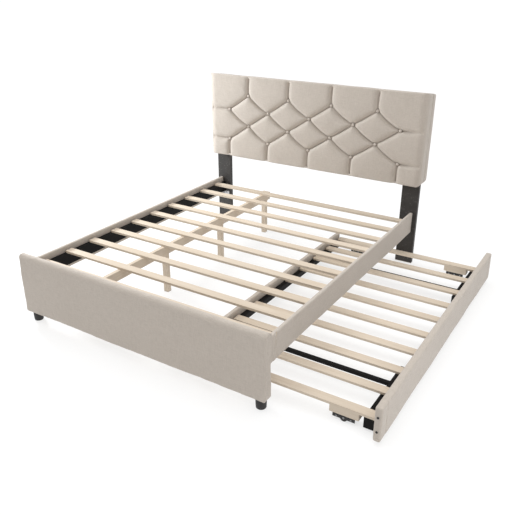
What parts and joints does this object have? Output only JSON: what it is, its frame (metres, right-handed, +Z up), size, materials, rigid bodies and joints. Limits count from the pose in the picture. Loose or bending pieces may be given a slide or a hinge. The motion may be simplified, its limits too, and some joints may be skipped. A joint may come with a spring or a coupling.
{
  "type": "trundle bed",
  "caption": "Upholstered platform bed with a buttoned headboard, slatted base and a low rolling trundle bed drawn out at its right side.",
  "frame": {"origin": "middle of the whole object's footprint on the floor, with the trundle drawn out as at rest", "axes": "+Z up, +Y from the footboard to the headboard, +X towards the side where the trundle is drawn out"},
  "size_m": [2.364, 2.199, 1.275],
  "materials": {
    "linen": "woven",
    "plywood": "satin",
    "timber": "satin",
    "charcoal_steel": "satin",
    "black_timber": "painted",
    "black_steel": "satin",
    "black_plastic": "matte",
    "felt": "felt",
    "steel": "satin"
  },
  "bodies": {
    "bed": {"headboard_panel": "plywood", "headboard_battens": "timber", "headboard_studs": "timber", "headboard_cushion": "linen", "headboard_back_cover": "linen", "headboard_buttons": "linen", "head_leg_left": "charcoal_steel", "head_leg_right": "charcoal_steel", "footboard_board": "plywood", "footboard_cover": "linen", "footboard_feet": "black_plastic", "side_rail_left": "plywood", "side_rail_right": "plywood", "rail_cover_left": "linen", "rail_cover_right": "linen", "ledge_left": "black_timber", "ledge_right": "black_timber", "corner_brackets": "steel", "frame_bolts": "steel", "main_slat_1": "timber", "main_slat_2": "timber", "main_slat_3": "timber", "main_slat_4": "timber", "main_slat_5": "timber", "main_slat_6": "timber", "main_slat_7": "timber", "main_slat_8": "timber", "main_slat_9": "timber", "main_slat_10": "timber", "frame_screws": "steel", "centre_beam": "timber", "centre_legs": "timber", "leg_glides": "felt"},
    "trundle": {"trundle_panel": "plywood", "trundle_panel_cover": "linen", "trundle_panel_bolts": "black_steel", "trundle_back_rail": "plywood", "trundle_back_cover": "linen", "trundle_back_ledge": "black_timber", "trundle_front_ledge": "black_timber", "trundle_ledge_packers": "black_timber", "trundle_cross_bars": "black_timber", "trundle_slat_1": "timber", "trundle_slat_2": "timber", "trundle_slat_3": "timber", "trundle_slat_4": "timber", "trundle_slat_5": "timber", "trundle_slat_6": "timber", "trundle_slat_7": "timber", "trundle_slat_8": "timber", "trundle_slat_9": "timber", "trundle_slat_10": "timber", "trundle_screws": "steel", "caster_blocks": "timber", "caster_brackets": "black_steel", "caster_pins": "steel"},
    "wheel_1": {"caster_wheel_1": "black_plastic"},
    "wheel_2": {"caster_wheel_2": "black_plastic"},
    "wheel_3": {"caster_wheel_3": "black_plastic"},
    "wheel_4": {"caster_wheel_4": "black_plastic"}
  },
  "joints": [
    {"name": "trundle_slide", "type": "slide", "parent": "bed", "child": "trundle", "axis": [1, 0, 0], "range_m": [-0.596, 0.61]},
    {"name": "wheel_1_spin", "type": "hinge", "parent": "trundle", "child": "wheel_1", "pos_m": [0.96, -0.916, 0.025], "axis": [0, 1, 0], "continuous": true},
    {"name": "wheel_2_spin", "type": "hinge", "parent": "trundle", "child": "wheel_2", "pos_m": [0.96, 0.965, 0.025], "axis": [0, 1, 0], "continuous": true},
    {"name": "wheel_3_spin", "type": "hinge", "parent": "trundle", "child": "wheel_3", "pos_m": [0.21, -0.916, 0.025], "axis": [0, 1, 0], "continuous": true},
    {"name": "wheel_4_spin", "type": "hinge", "parent": "trundle", "child": "wheel_4", "pos_m": [0.21, 0.965, 0.025], "axis": [0, 1, 0], "continuous": true}
  ],
  "couplings": [
    {"joint": "wheel_1_spin", "follows": "trundle_slide", "rad_per_m": 40},
    {"joint": "wheel_2_spin", "follows": "trundle_slide", "rad_per_m": 40},
    {"joint": "wheel_3_spin", "follows": "trundle_slide", "rad_per_m": 40},
    {"joint": "wheel_4_spin", "follows": "trundle_slide", "rad_per_m": 40}
  ]
}
